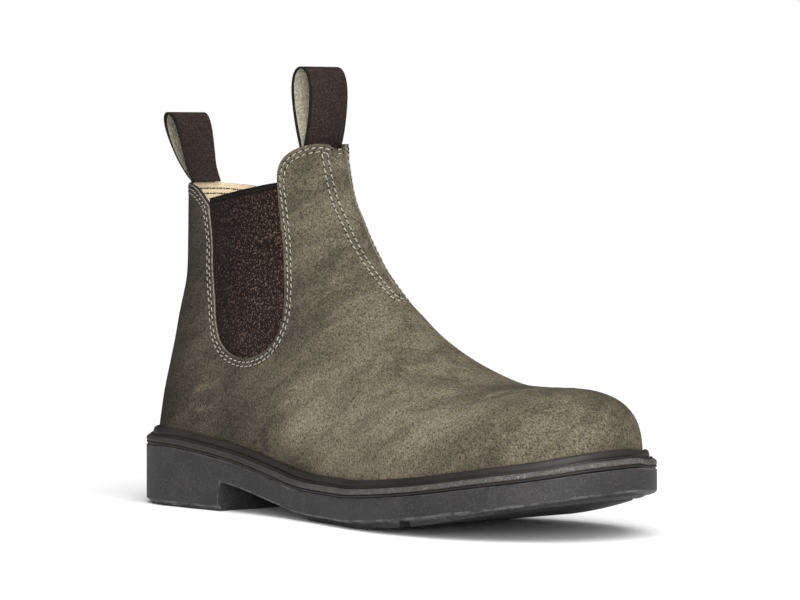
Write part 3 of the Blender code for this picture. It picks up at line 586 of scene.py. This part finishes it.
# Painted shade in the crease troughs, and a painted highlight along their ridges
tone = nubuck.blend(fold.ramp(-0.10, -0.90) * 0.40, tone, (0.038, 0.034, 0.024))
ridge_highlight = fold.ramp(0.06, 0.34) * brushed.ramp(0.40, 0.65)
tone = nubuck.blend(ridge_highlight * 0.32, tone, (0.190, 0.163, 0.115))
speckle = (1 + (grain - 0.5) * 1.5 + (fine - 0.5) * 3.4).most(0.25)
tone = nubuck.scaled(tone, speckle)
nubuck.coat("Base Color", tone)
nubuck.coat("Roughness", 0.82 + brushed * 0.12)
nubuck.relief(grain * 0.7 + fine * 0.3, 0.00034, 0.8)

raw_edge = Finish("cut_leather_edge", Roughness=0.9, Specular_IOR_Level=0.2)
fibre = raw_edge.noise(900, 2, 0.6)
tone = raw_edge.blend(fibre.ramp(0.35, 0.7), (0.110, 0.098, 0.076), (0.240, 0.218, 0.178))
# Away from the skin the cut edge turns dark brown: partly its own tone, partly painted shade
tone = raw_edge.blend(raw_edge.kept("from_skin").ramp(0.0004, 0.0010), tone, (0.020, 0.017, 0.013))
raw_edge.coat("Base Color", tone)
raw_edge.relief(fibre, 0.00008, 0.5)

lining = Finish("cream_lining", Roughness=0.92, Specular_IOR_Level=0.2)
lining.shader.inputs["Sheen Weight"].default_value = 0.15
cloth = lining.stretched(1, 1, 1, (0, math.radians(45), 0))
warp = lining.node("ShaderNodeTexWave", {"bands_direction": "X"}, {"Vector": cloth, "Scale": 360.0})
weft = lining.node("ShaderNodeTexWave", {"bands_direction": "Z"}, {"Vector": cloth, "Scale": 360.0})
threads = warp["Fac"].most(weft["Fac"])
cloud = lining.noise(45, 3, 0.6)
tone = lining.blend(cloud * 0.6 + threads * 0.3, (0.50, 0.395, 0.25), (0.78, 0.65, 0.455))
lining.coat("Base Color", tone)
lining.relief(threads, 0.0002, 0.4)

for finish in (nubuck, raw_edge, lining):
    upper.data.materials.append(finish.material)


def linked_area(mesh, seed, limit):
    """Faces reached from the seed without crossing an edge sharper than the limit."""
    form = bmesh.new()
    form.from_mesh(mesh)
    form.faces.ensure_lookup_table()
    reached = {seed}
    front = [form.faces[seed]]
    while front:
        face = front.pop()
        for edge in face.edges:
            if edge.calc_face_angle(0) > limit:
                continue
            for other in edge.link_faces:
                if other.index not in reached:
                    reached.add(other.index)
                    front.append(other)
    form.free()
    return reached


# The skin and the lining are the smooth areas seen from above and from under the vamp,
# and what is left is cut edge
bpy.context.view_layer.update()
EDGE_ANGLE = math.radians(33)
up = Vector((0, 0, 1))
_, vamp_top, _, skin_seed = upper.ray_cast(Vector((0.17, 0, 0.3)), -up)
_, _, _, lining_seed = upper.ray_cast(vamp_top - 0.02 * up, up)
skin_faces = linked_area(upper.data, skin_seed, EDGE_ANGLE)
lining_faces = linked_area(upper.data, lining_seed, EDGE_ANGLE)
for face in upper.data.polygons:
    face.material_index = 0 if face.index in skin_faces else 2 if face.index in lining_faces else 1
skin_points = sorted({i for f in skin_faces for i in upper.data.polygons[f].vertices})
nearest = KDTree(len(skin_points))
for i in skin_points:
    nearest.insert(upper.data.vertices[i].co, i)
nearest.balance()
keep(upper, "from_skin", [nearest.find(point.co)[2] for point in upper.data.vertices])

# Soft creases of a worn flex line: a trough with a low ridge on each side of it
CREASES = (
    # width and depth of the trough, then places along it
    (0.0026, 0.00050, (
        (0.187, -0.040, 0.052), (0.195, -0.036, 0.055), (0.203, -0.031, 0.057), (0.210, -0.026, 0.059),
        (0.218, -0.016, 0.062), (0.224, -0.007, 0.063), (0.225, 0.001, 0.063), (0.222, 0.012, 0.062),
        (0.213, 0.023, 0.058), (0.204, 0.030, 0.055),
    )),
    (0.0026, 0.00034, (
        (0.1236, -0.0364, 0.0478), (0.1274, -0.0350, 0.0533), (0.1314, -0.0338, 0.0573),
        (0.1346, -0.0319, 0.0614), (0.1381, -0.0298, 0.0650),
    )),
    (0.0034, 0.00030, (
        (0.1800, -0.0400, 0.0500), (0.1900, -0.0345, 0.0570), (0.1985, -0.0270, 0.0615),
        (0.2060, -0.0180, 0.0650), (0.2120, -0.0060, 0.0680),
    )),
    (0.0034, 0.00018, (
        (0.0112, -0.0311, 0.0491), (0.0212, -0.0315, 0.0509), (0.0311, -0.0318, 0.0528),
    )),
    (0.0040, 0.00030, (
        (0.0718, -0.0340, 0.0393), (0.0868, -0.0349, 0.0469), (0.1004, -0.0346, 0.0538),
        (0.1125, -0.0327, 0.0609),
    )),
    (0.0030, 0.00034, (
        (0.1600, 0.0380, 0.0470), (0.1680, 0.0350, 0.0540), (0.1760, 0.0300, 0.0620),
    )),
)
places = np.array([point.co for point in upper.data.vertices])
outward = np.zeros(3 * len(places))
upper.data.vertex_normals.foreach_get("vector", outward)
fold = np.zeros(len(places))
pressed = np.zeros(len(places))
for width, depth, line in CREASES:
    line = smooth_line(line, 0.001)
    gap = np.linalg.norm(places[:, None, :] - line[None, :, :], axis=2)
    along = gap.argmin(1)
    gap = gap[np.arange(len(places)), along] / width
    taper = np.sin(np.pi * (along + 0.5) / len(line)) ** 0.6
    wave = (1.6 * gap**2 - 1) * np.exp(-(gap**2)) * taper
    fold += wave
    pressed += wave * depth
keep(upper, "fold", fold)
places += outward.reshape(-1, 3) * pressed[:, None]
upper.data.vertices.foreach_set("co", places.ravel())
upper.data.update()


# Instep panel: a narrow tongue of the same leather, let into the slot at the front of the
# shaft and sewn in under the slot's two edges.
TUCK = 0.0009
MIDDLE_STRIP = 0.0008
panel = fine_copy("instep_panel", "instep_insert", 2, 38)
for point in panel.data.vertices:
    point.co.y += max(-1, min(1, point.co.y / MIDDLE_STRIP)) * TUCK
panel.data.materials.append(nubuck.material)


# Gores: brown elastic cloth with a fine twill, stitched in under the leather's edge, with
# a dense selvedge along the top.
LENGTH = 0.305
HEEL_MIDDLE = 0.038
SHAFT = 0.172
GORE_BACK = (0.1735 * LENGTH - HEEL_MIDDLE, 0.829 * SHAFT)
GORE_FRONT = (0.3222 * LENGTH - HEEL_MIDDLE, 0.874 * SHAFT)
SELVEDGE_CORD = 0.0016
elastic = Finish("brown_elastic", Roughness=0.9, Specular_IOR_Level=0.06)
elastic.shader.inputs["Sheen Weight"].default_value = 0.04
at = elastic.axes()
bias = elastic.stretched(1, 1, 1, (0, math.radians(38), 0))
ribs = {"Vector": bias, "Scale": 330.0, "Distortion": 3.0, "Detail": 2.0, "Detail Scale": 2.0}
twill = elastic.node("ShaderNodeTexWave", {"bands_direction": "X"}, ribs)["Fac"]
fleck = elastic.noise(1050, 2, 0.75)
weave = twill * 0.5 + fleck.ramp(0.4, 0.7) * 0.5
tone = elastic.blend(weave, (0.0036, 0.0016, 0.0010), (0.0170, 0.0085, 0.0060))
tone = elastic.blend(fleck.ramp(0.54, 0.64) * 0.75, tone, (0.105, 0.070, 0.055))
gore_rise = (GORE_FRONT[1] - GORE_BACK[1]) / (GORE_FRONT[0] - GORE_BACK[0])
under_top = (GORE_BACK[1] - gore_rise * GORE_BACK[0]) + at["X"] * gore_rise - at["Z"]
selvedge = under_top.ramp(0.0036, 0.0031)
tone = elastic.blend(selvedge * 0.90, tone, (0.0060, 0.0042, 0.0036))
# Painted shade: the elastic darkens towards the back of the gore
tone = elastic.scaled(tone, 0.38 + at["X"].ramp(0.016, 0.060) * 0.85)
elastic.coat("Base Color", tone)
cords = (under_top * (2 * math.pi / SELVEDGE_CORD)).sine() * selvedge
elastic.relief(twill * (1 - selvedge) * 0.6 + fleck * 0.5 + cords * 0.9, 0.00030, 0.6)
for node, name in (("gore_outer", "outer_gore_cloth"), ("gore_inner", "inner_gore_cloth")):
    gore = fine_copy(node, name, 2, 38)
    gore.data.materials.append(elastic.material)


# Seams: two rows of pale thread follow the cut edge of the leather round each gore and
# over the collar's front, and two rows hold the instep panel. Each stitch is a short
# hump of thread between two needle holes, drawn as dark discs of painted shade.
PITCH = 0.0033
THREAD = 0.00027
STITCH = 0.0025
NEEDLE_HOLE = 0.00040
LINE_STEP = 0.0005
GORE_ROWS = (0.0019, 0.0038)
CUT_EDGE = (
    # at, rise: shares of the length and of the shaft height
    (0.078, 0.868),
    (0.100, 0.864),
    (0.118, 0.860),
    (0.137, 0.849),
    (0.157, 0.829),
    (0.171, 0.810),
    (0.188, 0.718),
    (0.198, 0.633),
    (0.207, 0.565),
    (0.216, 0.503),
    (0.228, 0.455),
    (0.253, 0.422),
    (0.291, 0.409),
    (0.329, 0.423),
    (0.355, 0.457),
    (0.366, 0.511),
    (0.363, 0.560),
    (0.355, 0.620),
    (0.341, 0.700),
    (0.329, 0.790),
    (0.3205, 0.870),
    (0.3225, 0.909),
    (0.329, 0.934),
    (0.338, 0.950),
    (0.350, 0.963),
    (0.364, 0.972),
    (0.380, 0.976),
    (0.391, 0.969),
)


def beside(line, distance):
    """The line moved to its left by the distance."""
    ahead = np.gradient(line, axis=0)
    ahead /= np.linalg.norm(ahead, axis=1)[:, None]
    return line + distance * np.stack([-ahead[:, 1], ahead[:, 0]], 1)


thread = Finish("pale_thread", Roughness=0.7, Specular_IOR_Level=0.3)
ply = thread.noise(1700, 2, 0.6)
tone = thread.blend(ply.ramp(0.3, 0.7), (0.150, 0.140, 0.120), (0.420, 0.400, 0.355))
thread.coat("Base Color", tone)
thread.relief(ply, 0.0001, 0.5)
# Needle holes are dark discs: painted shade of the holes
hole = Finish("needle_hole", Roughness=1.0, Specular_IOR_Level=0.0)
hole_shade_mottle = hole.noise(900, 1, 0.5)
hole.coat("Base Color", hole.blend(hole_shade_mottle, (0.008, 0.007, 0.006), (0.022, 0.018, 0.014)))


def one_stitch(fibre):
    """A hump of thread along X, with a dark disc of painted shade for a needle hole at its far end. Z
    is away from the leather.
    """
    bpy.ops.object.select_all(action="DESELECT")
    level = (0, math.pi / 2, 0)
    bpy.ops.mesh.primitive_cylinder_add(vertices=6, radius=THREAD, depth=STITCH, rotation=level)
    stitch = bpy.context.object
    stitch.name = "stitch"
    bpy.ops.object.transform_apply(location=True, rotation=True, scale=True)
    bpy.ops.object.mode_set(mode="EDIT")
    for x in (-0.24 * STITCH, 0.24 * STITCH):
        bpy.ops.mesh.select_all(action="SELECT")
        bpy.ops.mesh.bisect(plane_co=(x, 0, 0), plane_no=(1, 0, 0))
    bpy.ops.object.mode_set(mode="OBJECT")
    for point in stitch.data.vertices:
        end = abs(point.co.x) / (STITCH / 2)
        point.co.y *= 1 - 0.35 * end**4
        point.co.z = point.co.z * 0.75 + 0.00016 - 0.00036 * end**3
    stitch.data.materials.append(fibre.material)
    bpy.ops.object.shade_smooth()
    far_end = (PITCH / 2, 0, 0)
    bpy.ops.mesh.primitive_cylinder_add(vertices=6, radius=NEEDLE_HOLE, depth=0.00016, location=far_end)
    pit = bpy.context.object
    bpy.ops.object.transform_apply(location=True, rotation=True, scale=True)
    pit.data.materials.append(hole.material)
    bpy.ops.object.select_all(action="DESELECT")
    pit.select_set(True)
    stitch.select_set(True)
    bpy.context.view_layer.objects.active = stitch
    bpy.ops.object.join()
    return stitch


HALF_SPAN = 0.0012


def sew(name, path, slant=0.16, fibre=thread):
    """Stitches along a path of (place, outward direction) on the leather, joined as one piece."""
    pattern = one_stitch(fibre)
    places = np.array([place for place, _ in path])
    normals = np.array([normal for _, normal in path])
    reach = reach_along(places)
    count = max(2, round(reach[-1] / PITCH))
    made = []
    for k in range(count):
        middle = (k + 0.5) * reach[-1] / count
        start = Vector([np.interp(middle - HALF_SPAN, reach, column) for column in places.T])
        end = Vector([np.interp(middle + HALF_SPAN, reach, column) for column in places.T])
        out = Vector([np.interp(middle, reach, column) for column in normals.T]).normalized()
        along = end - start
        across = out.cross(along).normalized()
        along = across.cross(out).normalized()
        along = (along + across * slant).normalized()
        across = out.cross(along).normalized()
        turn = Matrix((along, across, out)).transposed().to_4x4()
        turn.translation = (start + end) / 2
        copy = pattern.copy()
        copy.data = pattern.data.copy()
        scene.collection.objects.link(copy)
        copy.data.transform(turn)
        made.append(copy)
    bpy.data.objects.remove(pattern)
    bpy.ops.object.select_all(action="DESELECT")
    for copy in made:
        copy.select_set(True)
    bpy.context.view_layer.objects.active = made[0]
    bpy.ops.object.join()
    row = bpy.context.object
    row.name = name
    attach(row, "root")


cut_edge = smooth_line(np.array(CUT_EDGE) * (LENGTH, SHAFT) - (HEEL_MIDDLE, 0), LINE_STEP)
for side, word in ((-1, "outer"), (1, "inner")):
    for number, distance in enumerate(GORE_ROWS, 1):
        path = []
        for x, z in beside(cut_edge, -distance):
            hit, place, normal, _ = upper.ray_cast(Vector((x, side * 0.2, z)), Vector((0, -side, 0)))
            if hit and side * place.y > 0 and abs(normal.y) > 0.15:
                path.append((place, normal))
        sew(f"gore_seam_{word}_{number}", path)

INSTEP = (
    # top, rise: the dorsal line from below the panel to the collar
    (0.6175, 0.475),
    (0.5672, 0.537),
    (0.5188, 0.600),
    (0.4788, 0.667),
    (0.4480, 0.738),
    (0.4272, 0.802),
    (0.4135, 0.847),
    (0.4010, 0.910),
    (0.3955, 0.950),
    (0.3930, 0.964),
)
PANEL_END = 0.535
PANEL_LOW = 0.0022
PANEL_HIGH = 0.0048
PANEL_ROWS = (0.0012, 0.0031)
instep = smooth_line(np.array(INSTEP) * (LENGTH, SHAFT) - (HEEL_MIDDLE, 0), LINE_STEP)
instep_reach = reach_along(instep)
end_reach = float(np.interp(-(PANEL_END * LENGTH - HEEL_MIDDLE), -instep[:, 0], instep_reach))
panel_long = instep_reach[-1] - end_reach
round_start = end_reach + PANEL_LOW


def on_instep(reach):
    """The point (x, z) of the dorsal line at this length along it."""
    return np.array([np.interp(reach, instep_reach, column) for column in instep.T])


for number, distance in enumerate(PANEL_ROWS, 1):
    one_side = []
    for reach in np.arange(instep_reach[-1] - 0.001, round_start, -LINE_STEP):
        share = (reach - end_reach) / panel_long
        one_side.append((reach, PANEL_LOW + (PANEL_HIGH - PANEL_LOW) * share + distance))
    wide = PANEL_LOW + distance
    for turn in np.linspace(0, math.pi / 2, 14):
        one_side.append((round_start - wide * math.sin(turn), wide * math.cos(turn)))
    path = []
    for reach, y in one_side + [(reach, -y) for reach, y in one_side[::-1]]:
        x, z = on_instep(reach)
        ahead, above = on_instep(reach + 0.004) - on_instep(reach - 0.004)
        out = Vector((above, 0, -ahead)).normalized()
        hit, place, normal, _ = upper.ray_cast(Vector((x, y, z)) + out * 0.02, -out)
        if hit:
            path.append((place, normal))
    sew(f"instep_seam_{number}", path)

# The rows of the gores meet at the front, across the top of the instep panel
FRONT_HALF = 0.0058
rim_top = max(p.co.z for p in upper.data.vertices if abs(p.co.y) < 0.004 and p.co.x > 0.07)
for number, drop in enumerate(GORE_ROWS, 1):
    path = []
    for y in np.arange(-FRONT_HALF, FRONT_HALF + 0.0001, 0.0004):
        for piece in (upper, panel):
            in_front = Vector((0.2, y, rim_top - drop))
            hit, place, normal, _ = piece.ray_cast(in_front, Vector((-1, 0, 0)))
            if hit:
                path.append((place, normal))
                break
    sew(f"front_seam_{number}", path)

# Rows of dark thread inside the collar hold the facing of the lining
FACING_ROWS = (0.0024, 0.0048)
FACING_TURN = np.radians(np.arange(62, 299, 0.8))
COLLAR_MIDDLE = -0.008
COLLAR_BACK = -0.02
dark_thread = Finish("dark_thread", Roughness=0.8, Specular_IOR_Level=0.2)
ply = dark_thread.noise(1700, 2, 0.6)
tone = dark_thread.blend(ply.ramp(0.3, 0.7), (0.020, 0.013, 0.009), (0.060, 0.040, 0.028))
dark_thread.coat("Base Color", tone)
rim = np.array(CUT_EDGE[:5]) * (LENGTH, SHAFT) - (HEEL_MIDDLE, 0)
for number, drop in enumerate(FACING_ROWS, 1):
    path = []
    for turn in FACING_TURN:
        outward = Vector((math.cos(turn), math.sin(turn), 0))
        # The rim's height depends on where the ray meets the lining, so it is cast twice
        for _ in range(2):
            x = place.x if path else COLLAR_BACK
            z = np.interp(x, rim[:, 0], rim[:, 1]) - drop
            hit, place, normal, _ = upper.ray_cast(Vector((COLLAR_MIDDLE, 0, z)), outward)
        if hit and place.x < rim[-1, 0]:
            path.append((place, normal))
    sew(f"facing_seam_{number}", path, 0.05, dark_thread)


# Pull loops: brown webbing with black edges, folded double and sewn into the collar. The
# back of the cloth, seen inside the loop, is cream.
WEB_HALF = 0.0110
PICK = 0.0009
END = 0.0011
webbing = Finish("brown_webbing", Roughness=0.85, Specular_IOR_Level=0.18)
at = webbing.axes()
ribs = (at["Z"] * (2 * math.pi / PICK)).sine() * (at["Y"] * (2 * math.pi / END)).sine()
fleck = webbing.noise(1300, 2, 0.7)
tone = webbing.blend(fleck.ramp(0.42, 0.74), (0.0120, 0.0068, 0.0058), (0.0480, 0.0300, 0.0265))
black_edge = at["Y"].size().ramp(WEB_HALF - 0.0009, WEB_HALF - 0.0005)
tone = webbing.blend(black_edge, tone, (0.004, 0.004, 0.004))
webbing.coat("Base Color", tone)
webbing.relief(ribs * 0.5 + fleck * 0.5, 0.00022, 0.5)

web_back = Finish("cream_web_back", Roughness=0.9, Specular_IOR_Level=0.2)
at = web_back.axes()
fleck = web_back.noise(900, 3, 0.7)
tone = web_back.blend(fleck.ramp(0.35, 0.7), (0.200, 0.175, 0.132), (0.420, 0.385, 0.310))
black_edge = at["Y"].size().ramp(WEB_HALF - 0.0008, WEB_HALF - 0.0004)
web_back.coat("Base Color", web_back.blend(black_edge, tone, (0.004, 0.004, 0.004)))
web_back.relief(fleck, 0.00025, 0.6)

selvedge = Finish("black_selvedge", Roughness=0.8, Specular_IOR_Level=0.2)
cord = selvedge.noise(1500, 2, 0.6)
tone = selvedge.blend(cord.ramp(0.4, 0.7), (0.003, 0.003, 0.003), (0.012, 0.011, 0.011))
selvedge.coat("Base Color", tone)

FOOT = 0.0040
SINK = 0.0012
for node in ("pull_loop_front", "pull_loop_back"):
    loop = fine_copy(node, node.replace("pull_loop", "webbing_loop"), 2, 60)
    for finish in (webbing, web_back, selvedge):
        loop.data.materials.append(finish.material)
    low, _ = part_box(node)
    bpy.context.view_layer.update()
    for face in loop.data.polygons:
        level = (face.normal * Vector((1, 0, 1))).normalized()
        faces_itself, _, _, _ = loop.ray_cast(face.center + level * DOUBLES, level)
        face.material_index = 2 if abs(face.normal.y) > 0.7 else 1 if faces_itself else 0
    for point in loop.data.vertices:
        point.co.z -= SINK * max(0, 1 - (point.co.z - low.z) / FOOT)
